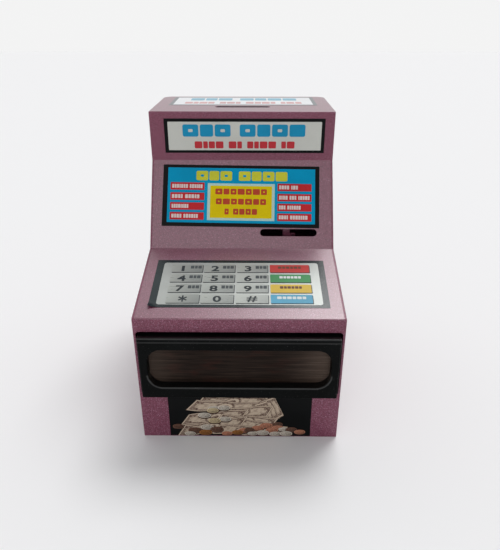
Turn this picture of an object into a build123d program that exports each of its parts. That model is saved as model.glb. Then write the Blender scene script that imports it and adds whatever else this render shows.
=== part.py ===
from build123d import *
import math
import os

# Toy cash-machine savings bank, in millimetres: +Z up, +X to the viewer's right, +Y towards the back.
# A cabinet of folded sheet steel holds a moulded drawer on two channel rails. A bank card pushed through
# the slot under the screen tips a lever, whose hook lets go of the drawer, and a spring draws it open.
# Everything is worked out with y = 0 on the cabinet's front face and z = 0 under its floor, and save()
# moves it so that the origin is under the middle of the whole object.

# ---------------------------------------------------------------- cabinet
cabinet_width = 185.0
sheet = 0.8                   # painted steel sheet
front_height = 131.0          # upright front face
deck_run, deck_rise = 100.5, 22.5        # sloping keypad deck
screen_run, screen_rise = 48.5, 77.5     # screen face that leans back
header_height = 48.5          # upright sign face
top_depth = 107.0             # flat top
bend_inside = 1.0             # inner radius of every fold of the cabinet
edge_round = 0.4              # rounding of the fascia's outer side edges
rear_corner_radius = 10.0     # upright back corners, in plan
flange = 8.0                  # inward welding flange on the side and back walls
relief_radius = 2.6           # relief in the flange at each fold
opening_margin = 2.0          # the flange stops this far from the drawer opening
floor_gap = 0.15              # between the floor plate and the walls
floor_flange = 10.0           # height of the floor plate's turned-up edges

# ---------------------------------------------------------------- slots and opening
slot_length, slot_height = 57.3, 7.5     # both slots, wide enough for a 54 mm bank card
coin_slot_back = 30.5         # coin slot's centre, behind the sign face
card_slot_side, card_slot_up = 45.4, 16.5    # card slot's centre, in from the right and up the screen face
opening_side, opening_corner = 2.0, 3.0  # drawer opening, in from the cabinet's sides
opening_bottom, opening_below_fold = 50.0, 13.0

# ---------------------------------------------------------------- drawer
front_side_gap, front_bottom_gap, front_top_gap = 2.1, 1.7, 2.5    # drawer front in its opening
front_proud = 7.0             # the drawer front stands out of the cabinet's face
front_wall = 2.2              # moulded walls of the drawer front
front_edge = 1.0              # rounding of its outer edges
window_side, window_above = 7.15, 11.9   # frame beside the window, and over and under it
window_rounding = 0.325       # window's corner radius, as a share of its height
window_lower = 0.2            # window's centre, under the middle of the drawer front
window_edge = 0.8             # rounding of the window's front edge
panel_setback = 1.5           # wood-grain panel, behind the cabinet's face
panel_thick = 2.5
panel_lap = 1.3               # the panel reaches this far past the window all round
tray_side, tray_length = 12.4, 200.0     # tray's side walls, in from the drawer front's sides
tray_wall = 2.0
tray_corner = 5.0
tray_front_inset = 0.5        # tray's front wall, inside the drawer front's outline
rim_below_front = 15.5        # tray's rim, under the drawer front's top
rim_reach = 10.0              # side rims stand out this far to run in the rails
rim_skirt = 10.0              # and turn down this far
drawer_travel = 110.0
boss_radius = 3.0
boss_side, boss_inset = 28.4, 5.9        # drawer screws: from the front's sides, and its top and bottom
screw_radius, screw_length, screw_clearance = 1.3, 9.5, 0.15
screw_head_radius, screw_head_height = 2.9, 1.9
recess_length, recess_width, recess_depth = 3.2, 0.7, 1.0

# ---------------------------------------------------------------- rails
strip_bend = 0.6              # inner radius of the bends in rails and brackets
run_gap = 0.3                 # running gap between a rim and its rail
rail_lap = 4.0                # each rail lip laps the rim this far
rail_front = 8.0              # front end of both rails
stop_size = 3.0               # height of the stop lugs and stop tabs
stop_reach, stop_length = 3.5, 4.0       # stop lug beyond the rim's skirt, and along it
stop_tab_gap = 0.9            # stop tabs, beyond the skirt

# ---------------------------------------------------------------- latch
shaft_radius, shaft_clearance = 2.0, 0.05
shaft_behind_nook, shaft_above_rim = 21.0, 8.0    # behind the deck's top fold, and over the tray's rim
bracket_step, bracket_foot, bracket_inner, bracket_height = 6.0, 10.0, 14.0, 12.0
rest_tab_width = 4.0
clip_radius, clip_thick = 4.0, 0.8
strip = 1.2                   # the trigger arm's strip steel
trigger_offset, trigger_width, trigger_above_slot = 1.7, 7.0, 5.5    # offset: left of the slot's centre
ear_length = 5.6              # the trigger arm's ear, beyond its right edge
ear_hole_out, ear_hole_above_nook = 3.4, 7.8      # its hole: beyond that edge, and over the deck's top fold
hook_beside_tray, hook_thick = 1.7, 2.0
hook_hub = 5.0
hook_reach = 23.5             # from the shaft forward to the back face of the hook's tooth
hook_tooth, hook_tip_flat, hook_tip_above = 3.5, 1.2, 7.0    # tip: over the tray's rim
hook_arm_above, hook_arm_height = 13.25, 4.75     # the arm's lower edge over the rim, and its height
catch_gap = 0.4               # between the tooth and the catch lug
catch_height, catch_width, catch_top, catch_foot = 10.5, 7.4, 3.0, 11.6

# ---------------------------------------------------------------- rivets
rivet_radius, rivet_clearance = 1.6, 0.05
rivet_head_radius, rivet_head_height = 3.2, 1.0
rivet_tail_radius, rivet_tail = 2.2, 1.0
base_rivet_inset, base_rivet_z = 45.0, 6.0    # floor rivets, from the cabinet's corners and its foot
rail_rivet_front, rail_rivet_back = 8.0, 16.0    # outer rail rivets, from the rail's ends

# ---------------------------------------------------------------- springs
wire_radius = 0.35
coil_radius = 2.5             # outside both coils
loop_radius = 2.5             # middle of the wire in each end loop
loop_root = 0.45              # radius of the bar across a coil's end, from which its loop springs
loop_seat = 1.25              # from the middle of the metal that a loop bears on to the loop's centre
eye_radius, eye_edge = 1.2, 0.9          # hole for a loop, and the metal outside it
pull_drop, pull_inset = 22.0, 2.5        # drawer spring's axis: under the rim, and inside its skirt
front_eye, back_eye = 8.0, 8.0           # its eyes, from the rail's front end and the tray's back end
anchor_before_nook, anchor_under_nook = 4.5, 15.7    # latch spring's lower eye, from the deck's top fold
anchor_leg, anchor_foot, anchor_width = 8.0, 12.0, 10.0

# ---------------------------------------------------------------- printed labels
label = 0.2
# Bare metal at each side of a label, and along its face before and after it; its shift to the right.
top_label_edges, top_label_shift = (14.0, 41.0, 6.0), 0.0
header_label_edges, header_label_shift = (12.0, 7.8, 6.7), 2.4
screen_label_edges, screen_label_shift = (12.75, 22.1, 5.32), -1.2
keypad_label_edges, keypad_label_shift = (12.0, 14.75, 19.74), -0.5
money_label_edges = (25.5, 0.8)
screen_label_tilt = -0.73

# ---------------------------------------------------------------- worked out from the sizes above
half = cabinet_width / 2
inside = half - sheet
depth = deck_run + screen_run + top_depth
height = front_height + deck_rise + screen_rise + header_height
foot = (0, 0)
lip = (0, front_height)
nook = (deck_run, front_height + deck_rise)
brow = (deck_run + screen_run, nook[1] + screen_rise)
crown = (brow[0], height)
back_edge = (depth, height)
profile = [foot, lip, nook, brow, crown, back_edge]
outward_folds = [True, False, False, True]

opening_width = cabinet_width - 2 * opening_side
opening_top = front_height - opening_below_fold
front_half = opening_width / 2 - front_side_gap
front_bottom = opening_bottom + front_bottom_gap
front_top = opening_top - front_top_gap
window_width = 2 * (front_half - window_side)
window_height = front_top - front_bottom - 2 * window_above
window_corner = window_rounding * window_height
window_z = (front_bottom + front_top) / 2 - window_lower
boss_x = front_half - boss_side
tray_front = panel_setback + panel_thick
tray_back = tray_front + tray_length
tray_half = front_half - tray_side
tray_bottom = front_bottom + tray_front_inset
rim_top = front_top - rim_below_front
rim_half = tray_half + rim_reach
skirt_bottom = rim_top - rim_skirt
rail_back = tray_back + run_gap + sheet
rail_low = skirt_bottom - run_gap - sheet
rail_high = rim_top + run_gap + sheet
rail_rivet_z = rim_top - rivet_tail_radius - run_gap
stop_z = (skirt_bottom + run_gap, skirt_bottom + run_gap + stop_size)
card_slot_x = half - card_slot_side
shaft_y = nook[0] + shaft_behind_nook
shaft_z = rim_top + shaft_above_rim
trigger_x = card_slot_x - trigger_offset
ear_hole_x = trigger_x + trigger_width / 2 + ear_hole_out
ear_hole_z = nook[1] + ear_hole_above_nook
hook_x = tray_half + hook_beside_tray
hook_back_y = shaft_y - hook_reach
hook_tip_z = rim_top + hook_tip_above
hook_arm_low = rim_top + hook_arm_above
hook_arm_high = hook_arm_low + hook_arm_height
anchor_y = nook[0] - anchor_before_nook
anchor_z = nook[1] - anchor_under_nook
pull_x = rim_half - pull_inset
pull_z = rim_top - pull_drop
eye_reach = eye_radius + eye_edge
origin_y = (depth + rivet_head_height - front_proud) / 2


def save(name, *shapes):
    """Writes one node, moved so that the origin is under the middle of the object."""
    placed = [Pos(0, -origin_y, 0) * solid for shape in shapes for solid in shape.solids()]
    export_step(placed[0] if len(placed) == 1 else Compound(children=placed), f"parts/{name}.step")


def box(x, y, z):
    """A box from three (low, high) pairs."""
    sizes = [high - low for low, high in (x, y, z)]
    middle = [(high + low) / 2 for low, high in (x, y, z)]
    return Pos(*middle) * Box(*sizes)


def rod(radius, start, direction, length):
    """A round bar that starts at a point and runs along a direction."""
    return extrude(Plane(start, z_dir=direction) * Circle(radius), length)


def mirrored(shape):
    """The same shape on the cabinet's other side."""
    return mirror(shape, Plane.YZ)


# ================================================================ cabinet
def inset_point(before, corner, after, inset):
    """The corner of an outline moved in by the same distance from both of its sides."""
    way_in = (Vector(*corner) - Vector(*before)).normalized()
    way_out = (Vector(*after) - Vector(*corner)).normalized()
    right_in = Vector(way_in.Y, -way_in.X)
    right_out = Vector(way_out.Y, -way_out.X)
    mitre = (right_in + right_out) / (1 + right_in.dot(right_out))
    moved = Vector(*corner) + mitre * inset
    return (moved.X, moved.Y)


def profile_path(inset):
    """The cabinet's side profile as straight runs and folds, that far under its outer face."""
    corners = [inset_point(*profile[i - 1:i + 2], inset) for i in range(1, len(profile) - 1)]
    outer = bend_inside + sheet
    radii = [outer - inset if outward else bend_inside + inset for outward in outward_folds]
    return FilletPolyline((inset, 0), *corners, (depth, height - inset), radius=radii)


def profile_sheet(inset, x_low, x_high):
    """One thickness of sheet that follows the profile between two values of x."""
    outer, inner = profile_path(inset), profile_path(inset + sheet)
    ends = [Line(outer @ 0, inner @ 0), Line(outer @ 1, inner @ 1)]
    face = make_face([*outer.edges(), *inner.edges(), *ends])
    return Pos(x_low, 0, 0) * extrude(Plane.YZ * face, x_high - x_low)


def profile_block(inset):
    """Everything inside the profile, over the whole width."""
    path = profile_path(inset)
    ends = [Line(path @ 1, (depth, 0)), Line((depth, 0), path @ 0)]
    return Pos(-half, 0, 0) * extrude(Plane.YZ * make_face([*path.edges(), *ends]), cabinet_width)


def plan_block(inset, z_low, z_high):
    """The cabinet's plan, with rounded back corners, drawn in by an inset and raised into a block."""
    outline = Pos(0, depth / 2) * Rectangle(cabinet_width - 2 * inset, depth - 2 * inset)
    outline = fillet(outline.vertices().group_by(Axis.Y)[-1], rear_corner_radius - inset)
    return Pos(0, 0, z_low) * extrude(outline, z_high - z_low)


def face_plane(start, end, across, along):
    """A plane on one outer face of the profile, at a place across it and up it from its lower fold."""
    way = (Vector(0, *end) - Vector(0, *start)).normalized()
    centre = Vector(across, *start) + way * along
    return Plane(centre, x_dir=(1, 0, 0), z_dir=Vector(1, 0, 0).cross(way))


def slot_cut(plane):
    """A round-ended slot through the sheet at a plane."""
    return extrude(plane * SlotOverall(slot_length, slot_height), 3 * sheet, both=True)


def upright_plane(y, z):
    """An upright plane that faces the front."""
    return Plane((0, y, z), x_dir=(1, 0, 0), z_dir=(0, -1, 0))


card_slot = face_plane(nook, brow, card_slot_x, card_slot_up)
coin_slot = face_plane(crown, back_edge, 0, coin_slot_back)


def front_fascia():
    """One folded sheet: front, keypad deck, screen face, sign face and top."""
    body = profile_sheet(0, -half, half)
    outer_face = profile_path(0)
    side_edges = [
        edge for edge in body.edges()
        if abs(abs(edge.center().X) - half) < sheet / 8
        and outer_face.distance_to(Vector(edge.center().Y, edge.center().Z)) < sheet / 8
    ]
    body = fillet(side_edges, edge_round) & plan_block(0, 0, height)
    opening = RectangleRounded(opening_width, opening_top - opening_bottom, opening_corner)
    body -= extrude(upright_plane(0, (opening_bottom + opening_top) / 2) * opening, 3 * sheet, both=True)
    return body - slot_cut(card_slot) - slot_cut(coin_slot)


def wall_flange():
    """The right wall's welding flange, which follows the profile under the fascia, with reliefs."""
    body = profile_sheet(sheet, inside - flange, inside)
    front_zone = (-1, 4 * sheet)
    body -= box((0, half), front_zone, (opening_bottom - opening_margin, opening_top + opening_margin))
    body -= box((0, half), front_zone, (-1, floor_flange + 2 * sheet))
    body -= box((0, half), (depth - rear_corner_radius - sheet, depth + 1), (0, height))
    for corner in profile[1:-1]:
        body -= rod(relief_radius, (inside - flange - 1, *corner), (1, 0, 0), flange + 1)
    return body


def back_shell():
    """One sheet bent round in plan: left side, back and right side, with their welding flanges."""
    walls = plan_block(0, 0, height) - plan_block(sheet, -1, height + 1)
    walls -= box((-half, half), (-1, sheet), (-1, height + 1))
    walls = walls & profile_block(sheet)
    reach = half - rear_corner_radius - sheet
    back_flange = box(
        (-reach, reach), (depth - sheet - flange, depth - sheet), (height - 2 * sheet, height - sheet)
    )
    shell = walls + wall_flange() + mirrored(wall_flange()) + back_flange
    return shell - rivet_holes(base_rivets() + rail_rivets() + bracket_rivets())


def base_plate():
    """Floor plate with turned-up edges that rivet to the walls."""
    edge = sheet + floor_gap
    reach = half - edge
    corner = half - rear_corner_radius
    plate = plan_block(edge, 0, sheet)
    sides = box((reach - sheet, reach), (edge + 2 * sheet, depth - rear_corner_radius), (0, floor_flange))
    back = box((-corner, corner), (depth - edge - sheet, depth - edge), (0, floor_flange))
    front = box((-corner, corner), (edge, edge + sheet), (0, floor_flange))
    plate = plate + sides + mirrored(sides) + back + front
    return plate - rivet_holes(base_rivets())


# ================================================================ rivets
def base_rivets():
    """Each floor rivet's seat on the outer wall, with the way its head faces."""
    ys = (base_rivet_inset, depth - base_rivet_inset)
    x = half - base_rivet_inset
    sides = [(Vector(s * half, y, base_rivet_z), Vector(s, 0, 0)) for s in (-1, 1) for y in ys]
    return sides + [(Vector(s * x, depth, base_rivet_z), Vector(0, 1, 0)) for s in (-1, 1)]


def rail_rivets():
    """Three rivets along each rail: near both ends, and in the middle."""
    ys = (rail_front + rail_rivet_front, (rail_front + rail_back) / 2, rail_back - rail_rivet_back)
    return [(Vector(s * half, y, rail_rivet_z), Vector(s, 0, 0)) for s in (-1, 1) for y in ys]


def bracket_rivets():
    """One rivet in each foot of both shaft brackets."""
    reach = bracket_inner / 2 + sheet + bracket_foot / 2
    ys = (shaft_y - reach, shaft_y + reach)
    return [(Vector(s * half, y, shaft_z), Vector(s, 0, 0)) for s in (-1, 1) for y in ys]


def rivet_holes(seats):
    """The holes for some rivets, through all the sheets that they hold."""
    holes = [
        rod(rivet_radius + rivet_clearance, seat - way * 4 * sheet, way, 5 * sheet) for seat, way in seats
    ]
    return holes[0] + holes[1:]


def rivets(seats, grip):
    """Dome-headed rivets: head outside, shank through the grip, and a flat tail formed inside."""
    dome = (rivet_head_radius**2 + rivet_head_height**2) / (2 * rivet_head_height)
    turn = math.degrees(math.asin(rivet_head_radius / dome))
    crown_arc = JernArc((0, rivet_head_height), (1, 0), dome, -turn)
    sides = Polyline(
        crown_arc @ 1,
        (rivet_radius, 0),
        (rivet_radius, -grip),
        (rivet_tail_radius, -grip),
        (rivet_tail_radius, -grip - rivet_tail),
        (0, -grip - rivet_tail),
        (0, rivet_head_height),
    )
    one = revolve(Plane.XZ * make_face([*crown_arc.edges(), *sides.edges()]), Axis.Z)
    return [Plane(seat, z_dir=way) * one for seat, way in seats]


# ================================================================ rails and brackets
def bent_strip(points):
    """The section of a strip of sheet whose middle runs through some points, bent at each."""
    return trace(FilletPolyline(*points, radius=strip_bend + sheet / 2), sheet)


def eye_tab(y, way, thick, z_top):
    """A tab across the drawer spring's axis: the spring leaves it along way."""
    span = sorted((y - way * 2 * eye_reach, y + way * eye_reach))
    tab = box((pull_x - thick / 2, pull_x + thick / 2), span, (pull_z - 2 * eye_reach, z_top))
    return tab - rod(eye_radius, (pull_x - thick, y, pull_z), (1, 0, 0), 2 * thick)


def plain_rail():
    """The right-hand channel: web on the wall, two lips round the tray's rim, and both stops."""
    lip_in, middle = rim_half - rail_lap, inside - sheet / 2
    low, high = rail_low + sheet / 2, rail_high - sheet / 2
    section = bent_strip([(lip_in, high), (middle, high), (middle, low), (lip_in, low)])
    body = Pos(0, rail_front, 0) * extrude(Plane.XZ * section, rail_front - rail_back)
    tab_x = (rim_half + stop_tab_gap, middle)
    open_stop = tray_back - stop_length - drawer_travel - run_gap
    body += box(tab_x, (open_stop - sheet, open_stop), stop_z)
    body += box(tab_x, (rail_back - sheet, rail_back), (low, high))
    return body - rivet_holes(rail_rivets())


def sprung_rail():
    """The right rail, with the tab that holds the drawer spring's front end."""
    return plain_rail() + eye_tab(rail_front + front_eye, 1, sheet, rail_low + sheet / 2)


def shaft_bracket():
    """A hat-shaped bracket on the right wall, which carries one end of the latch shaft."""
    top, on_wall = inside - bracket_step + sheet / 2, inside - sheet / 2
    leg = bracket_inner / 2 + sheet / 2
    toe = leg + bracket_foot
    section = bent_strip([
        (on_wall, shaft_y - toe),
        (on_wall, shaft_y - leg),
        (top, shaft_y - leg),
        (top, shaft_y + leg),
        (on_wall, shaft_y + leg),
        (on_wall, shaft_y + toe),
    ])
    body = Pos(0, 0, shaft_z - bracket_height / 2) * extrude(section, bracket_height)
    body -= rod(shaft_radius + shaft_clearance, (top - sheet, shaft_y, shaft_z), (1, 0, 0), 2 * sheet)
    return body - rivet_holes(bracket_rivets())


def rest_tab():
    """The tab of the right bracket that the hook's arm rests on."""
    face = inside - bracket_step
    y_back = shaft_y - hook_hub - run_gap
    y = (y_back - rest_tab_width, y_back)
    top = hook_arm_low - shaft_clearance
    leg_y = shaft_y - bracket_inner / 2
    neck = box((face, face + sheet), (y[0], leg_y + sheet), (top - 2 * sheet, top))
    return neck + box((hook_x - hook_thick, face + sheet), y, (top - sheet, top))


def on_deck(y, inset):
    """A point of the line that lies that far under the deck's outer face."""
    start = Vector(*inset_point(foot, lip, nook, inset))
    end = Vector(*inset_point(lip, nook, brow, inset))
    return (y, start.Y + (end.Y - start.Y) * (y - start.X) / (end.X - start.X))


def spring_anchor():
    """A strip welded under the deck and bent twice, with an eye for the latch spring's lower end."""
    leg_y = anchor_y - anchor_leg
    section = bent_strip([
        on_deck(leg_y - anchor_foot, 1.5 * sheet),
        on_deck(leg_y, 1.5 * sheet),
        (leg_y, anchor_z),
        (anchor_y + eye_reach, anchor_z),
    ])
    body = Pos(ear_hole_x - anchor_width / 2, 0, 0) * extrude(Plane.YZ * section, anchor_width)
    return body - rod(eye_radius, (ear_hole_x, anchor_y, anchor_z - sheet), (0, 0, 1), 2 * sheet)


# ================================================================ drawer
def window_outline(grow=0.0):
    """The window's outline, or one that far outside it."""
    return RectangleRounded(window_width + 2 * grow, window_height + 2 * grow, window_corner + grow)


def through(y_back, y_front, outline):
    """An outline on the window's centre, raised towards the front from one upright plane to another."""
    return extrude(upright_plane(y_back, window_z) * outline, y_back - y_front)


def boss_places():
    """The drawer screws' places, as (x, z)."""
    return [(s * boss_x, z) for s in (-1, 1) for z in (front_bottom + boss_inset, front_top - boss_inset)]


def drawer_front():
    """Moulded black front: a hollow frame round the deep window, with four screw bosses."""
    block = box((-front_half, front_half), (-front_proud, tray_front), (front_bottom, front_top))
    block = fillet(block.edges().filter_by(Axis.Y) + block.faces().sort_by(Axis.Y)[0].edges(), front_edge)
    hollow = box(
        (front_wall - front_half, front_half - front_wall),
        (front_wall - front_proud, tray_front),
        (front_bottom + front_wall, front_top - front_wall),
    )
    body = block - (hollow - through(panel_setback, -front_proud, window_outline(front_wall)))
    for x, z in boss_places():
        body += rod(boss_radius, (x, tray_front, z), (0, -1, 0), tray_front + front_proud - front_wall)
        body -= rod(screw_radius, (x, tray_front, z), (0, -1, 0), screw_length - tray_wall + 1)
    body -= through(tray_front, -front_proud - 1, window_outline())
    return fillet(body.faces().sort_by(Axis.Y)[0].inner_wires()[0].edges(), window_edge)


def window_panel():
    """Wood-grain board, held between the window's tunnel and the tray's front wall."""
    return through(tray_front, panel_setback, window_outline(panel_lap))


def drawer_tray():
    """Moulded tray: floor and walls, a tall front wall, side rims, the catch lug and the spring's tab."""
    body = box((-tray_half, tray_half), (tray_front, tray_back), (tray_bottom, rim_top))
    body = fillet(body.edges().filter_by(Axis.Z).group_by(Axis.Y)[-1], tray_corner)
    pocket = box(
        (tray_wall - tray_half, tray_half - tray_wall),
        (tray_front + tray_wall, tray_back - tray_wall),
        (tray_bottom + tray_wall, rim_top + 1),
    )
    body -= fillet(pocket.edges().filter_by(Axis.Z).group_by(Axis.Y)[-1], tray_corner - tray_wall)
    reach, wall_top = front_half - tray_front_inset, front_top - tray_front_inset
    body += box((-reach, reach), (tray_front, tray_front + tray_wall), (tray_bottom, wall_top))
    body += tray_rim() + mirrored(tray_rim()) + catch_lug() + spring_tab()
    for x, z in boss_places():
        hole_radius = screw_radius + screw_clearance
        body -= rod(hole_radius, (x, tray_front - 1, z), (0, 1, 0), tray_wall + 2)
    return body


def tray_rim():
    """The right-hand rim: a ledge, its turned-down skirt, and the stop lug at its back end."""
    along = (tray_front + tray_wall / 2, tray_back)
    ledge = box((tray_half - tray_wall / 2, rim_half), along, (rim_top - tray_wall, rim_top))
    skirt = box((rim_half - tray_wall, rim_half), along, (skirt_bottom, rim_top))
    lug = box((rim_half - tray_wall, rim_half + stop_reach), (tray_back - stop_length, tray_back), stop_z)
    return ledge + skirt + lug


def catch_lug():
    """The lug on the right rim that the hook's tooth holds, with a sloping back that braces it."""
    y = hook_back_y + catch_gap
    outline = Polyline(
        (y, rim_top),
        (y, rim_top + catch_height),
        (y + catch_top, rim_top + catch_height),
        (y + catch_foot, rim_top),
        close=True,
    )
    return Pos(tray_half - tray_wall, 0, 0) * extrude(Plane.YZ * make_face(outline), catch_width)


def spring_tab():
    """The tab beside the tray that holds the drawer spring's back end."""
    y = tray_back - back_eye
    low, high = pull_z - 2 * eye_reach, pull_z + 2 * eye_reach
    arm_x = (tray_half - tray_wall / 2, pull_x + tray_wall / 2)
    return box(arm_x, (y + eye_reach, y + 2 * eye_reach), (low, high)) + eye_tab(y, -1, tray_wall / 2, high)


def drawer_screw(x, z):
    """Pan-head screw with a cross recess, from inside the tray into a boss of the drawer front."""
    seat = tray_front + tray_wall
    head = rod(screw_head_radius, (x, seat, z), (0, 1, 0), screw_head_height)
    head = fillet(head.faces().sort_by(Axis.Y)[-1].edges(), screw_head_height / 2)
    shank = rod(screw_radius, (x, seat, z), (0, -1, 0), screw_length)
    deep = (seat + screw_head_height - recess_depth, seat + screw_head_height)
    long, narrow = recess_length / 2, recess_width / 2
    recess = box((x - long, x + long), deep, (z - narrow, z + narrow))
    recess += box((x - narrow, x + narrow), deep, (z - long, z + long))
    return head + shank - recess


# ================================================================ latch
def latch_shaft():
    """Steel rod from one shaft bracket to the other."""
    reach = inside - bracket_step + 2 * sheet
    return rod(shaft_radius, (-reach, shaft_y, shaft_z), (1, 0, 0), 2 * reach)


def shaft_clip():
    """Push-on clip on the shaft, just inside the right bracket."""
    x = inside - bracket_step - clip_thick - shaft_clearance
    clip = rod(clip_radius, (x, shaft_y, shaft_z), (1, 0, 0), clip_thick)
    return clip - rod(shaft_radius, (x - 1, shaft_y, shaft_z), (1, 0, 0), clip_thick + 2)


def trigger_arm():
    """Upright strip behind the card slot that a card pushes back, rolled round the shaft at its foot."""
    low_x, high_x = trigger_x - trigger_width / 2, trigger_x + trigger_width / 2
    front = shaft_y - shaft_radius - strip
    top = card_slot.origin.Z + trigger_above_slot
    upright = box((low_x, high_x), (front, front + strip), (shaft_z, top))
    upright = fillet(upright.edges().filter_by(Axis.Y).group_by(Axis.Z)[-1], trigger_width / 3)
    ear_z = (ear_hole_z - eye_reach, ear_hole_z + eye_reach)
    ear = box((high_x - 1, high_x + ear_length), (front, front + strip), ear_z)
    ear = fillet(ear.edges().filter_by(Axis.Y).group_by(Axis.X)[-1], eye_edge)
    collar = rod(shaft_radius + strip, (low_x, shaft_y, shaft_z), (1, 0, 0), trigger_width)
    bore = rod(shaft_radius, (low_x - 1, shaft_y, shaft_z), (1, 0, 0), trigger_width + 2)
    eye = rod(eye_radius, (ear_hole_x, front - 1, ear_hole_z), (0, 1, 0), strip + 2)
    return collar + upright + ear - bore - eye


def latch_hook():
    """Flat stamped lever: a hub on the shaft, an arm that runs forward and a tooth that points down."""
    tooth_front = hook_back_y - hook_tooth
    outline = Polyline(
        (shaft_y - hook_hub, shaft_z),
        (shaft_y - hook_hub, hook_arm_low),
        (hook_back_y, hook_arm_low),
        (hook_back_y, hook_tip_z),
        (hook_back_y - hook_tip_flat, hook_tip_z),
        (tooth_front, hook_tip_z + hook_tooth),
        (tooth_front, hook_arm_high),
        (shaft_y + hook_hub / 2, hook_arm_high),
        (shaft_y + hook_hub, shaft_z),
        close=True,
    )
    x = hook_x - hook_thick / 2
    plate = Pos(x, 0, 0) * extrude(Plane.YZ * make_face(outline), hook_thick)
    hub = rod(hook_hub, (x, shaft_y, shaft_z), (1, 0, 0), hook_thick)
    return plate + hub - rod(shaft_radius, (x - 1, shaft_y, shaft_z), (1, 0, 0), hook_thick + 2)


# ================================================================ springs
def spring_outline(first, last, loop_way):
    """An extension spring's outer shape between the centres of its two end loops."""
    axis = (last - first).normalized()
    start, end = first + axis * loop_radius, last - axis * loop_radius
    length = (end - start).length
    body = rod(coil_radius, start, axis, length) - rod(coil_radius - 2 * wire_radius, start, axis, length)
    spoke = coil_radius - wire_radius
    for centre, way in ((first, axis), (last, -axis)):
        body += Plane(centre, z_dir=axis.cross(loop_way)) * Torus(loop_radius, wire_radius)
        body += rod(loop_root, centre + way * loop_radius - loop_way * spoke, loop_way, 2 * spoke)
    return body


def drawer_spring():
    """Extension spring beside the tray, stretched while the drawer is closed."""
    off_eye = eye_radius + eye_edge / 2 + loop_seat
    first = Vector(pull_x, rail_front + front_eye + off_eye, pull_z)
    last = Vector(pull_x, tray_back - back_eye - off_eye, pull_z)
    return spring_outline(first, last, Vector(1, 0, 0))


def latch_spring():
    """Extension spring from the anchor under the deck up to the trigger arm's ear."""
    metal_low = Vector(ear_hole_x, anchor_y + eye_radius + eye_edge / 2, anchor_z)
    ear_middle = shaft_y - shaft_radius - strip / 2
    metal_high = Vector(ear_hole_x, ear_middle, ear_hole_z - eye_radius - eye_edge / 2)
    way = (metal_high - metal_low).normalized()
    loop_way = way.cross(Vector(1, 0, 0))
    return spring_outline(metal_low + way * loop_seat, metal_high - way * loop_seat, loop_way)


# ================================================================ printed labels
def flat_label(start, end, edges, shift, tilt=0.0):
    """A printed label on one outer face of the profile, inside some margins, turned by a tilt."""
    side, before, after = edges
    length = (Vector(*end) - Vector(*start)).length
    plane = face_plane(start, end, shift, (before + length - after) / 2) * Rot(0, 0, tilt)
    return extrude(plane * Rectangle(cabinet_width - 2 * side, length - before - after), label)


def money_label():
    """The money picture, on the front face under the drawer."""
    side, margin = money_label_edges
    picture = Rectangle(cabinet_width - 2 * side, opening_bottom - 2 * margin)
    return extrude(upright_plane(0, opening_bottom / 2) * picture, label)


# ================================================================ all nodes
os.makedirs("parts", exist_ok=True)
sheets = 2 * sheet

save("front_fascia", front_fascia())
save("back_shell", back_shell())
save("base_plate", base_plate())
save("base_rivets", *rivets(base_rivets(), sheets + floor_gap))
save("left_rail", mirrored(plain_rail()))
save("right_rail", sprung_rail())
save("rail_rivets", *rivets(rail_rivets(), sheets))
save("left_shaft_bracket", mirrored(shaft_bracket()))
save("right_shaft_bracket", shaft_bracket() + rest_tab())
save("bracket_rivets", *rivets(bracket_rivets(), sheets))
save("spring_anchor", spring_anchor())
save("top_label", flat_label(crown, back_edge, top_label_edges, top_label_shift))
save("header_label", flat_label(brow, crown, header_label_edges, header_label_shift))
save("screen_label", flat_label(nook, brow, screen_label_edges, screen_label_shift, screen_label_tilt))
save("keypad_label", flat_label(lip, nook, keypad_label_edges, keypad_label_shift))
save("money_label", money_label())
save("drawer_tray", drawer_tray())
save("drawer_front", drawer_front())
save("window_panel", window_panel())
save("drawer_screws", *[drawer_screw(x, z) for x, z in boss_places()])
save("drawer_spring", drawer_spring())
save("latch_shaft", latch_shaft())
save("shaft_clips", shaft_clip(), mirrored(shaft_clip()))
save("trigger_arm", trigger_arm())
save("latch_hook", latch_hook())
save("latch_spring", latch_spring())
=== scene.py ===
import math

import bmesh
import bpy
from mathutils import Matrix, Vector


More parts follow.
